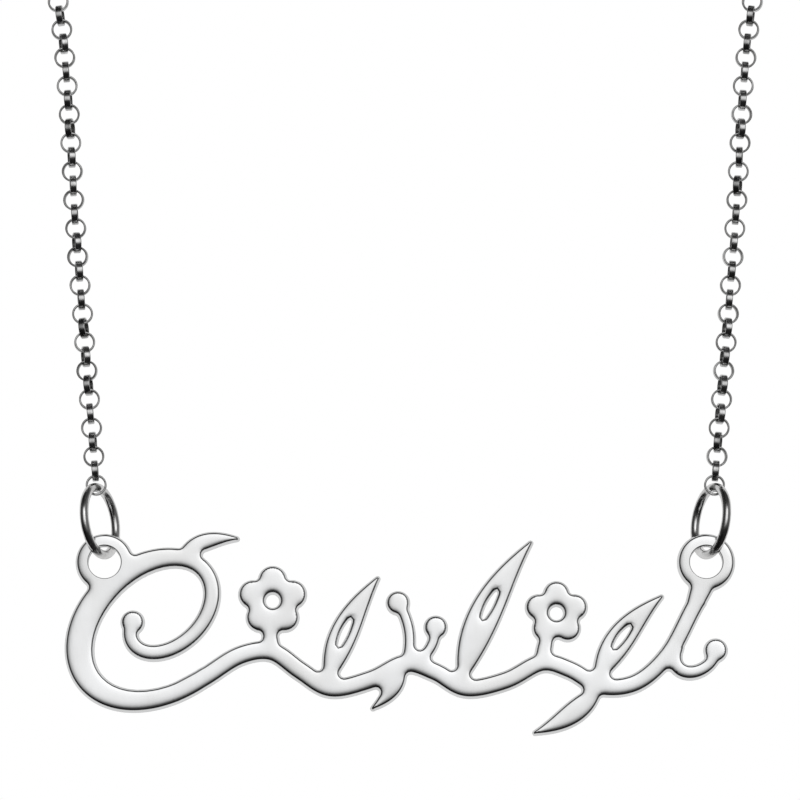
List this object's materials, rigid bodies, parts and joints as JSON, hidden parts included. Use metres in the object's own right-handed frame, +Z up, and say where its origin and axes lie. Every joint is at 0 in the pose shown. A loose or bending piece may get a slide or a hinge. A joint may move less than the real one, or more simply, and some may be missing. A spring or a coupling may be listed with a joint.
{
  "type": "nameplate necklace",
  "caption": "Necklace with a polished silver plate sawn out as a slanted leafy scroll, hung by jump rings between two rolo chains that close at the nape.",
  "frame": {"origin": "where the closed clasp rests on the nape of the neck, at the clasp's inner side", "axes": "+X to the viewer's right, +Y backward away from the viewer, +Z up; the plate hangs in front at negative Y and its front faces -Y"},
  "size_m": [0.0994, 0.0976, 0.1228],
  "materials": {
    "polished_silver": "polished sterling silver plate with softly buffed edges",
    "wire_silver": "polished silver wire",
    "chain_silver": "polished silver links, darkened where they rub and nest"
  },
  "bodies": {
    "chain": {"chain_left_front": "chain_silver", "chain_right_front": "chain_silver", "chain_left_nape": "chain_silver", "chain_right_nape": "chain_silver", "clasp": "wire_silver"},
    "nameplate": {"nameplate": "polished_silver", "jump_ring_left": "wire_silver", "jump_ring_right": "wire_silver", "end_link_left": "chain_silver", "end_link_right": "chain_silver"}
  },
  "joints": [
    {"name": "nameplate_swing", "type": "hinge", "parent": "chain", "child": "nameplate", "pos_m": [0, -0.0939, -0.10173], "axis": [1, 0, 0], "range_deg": [-60, 60]}
  ]
}
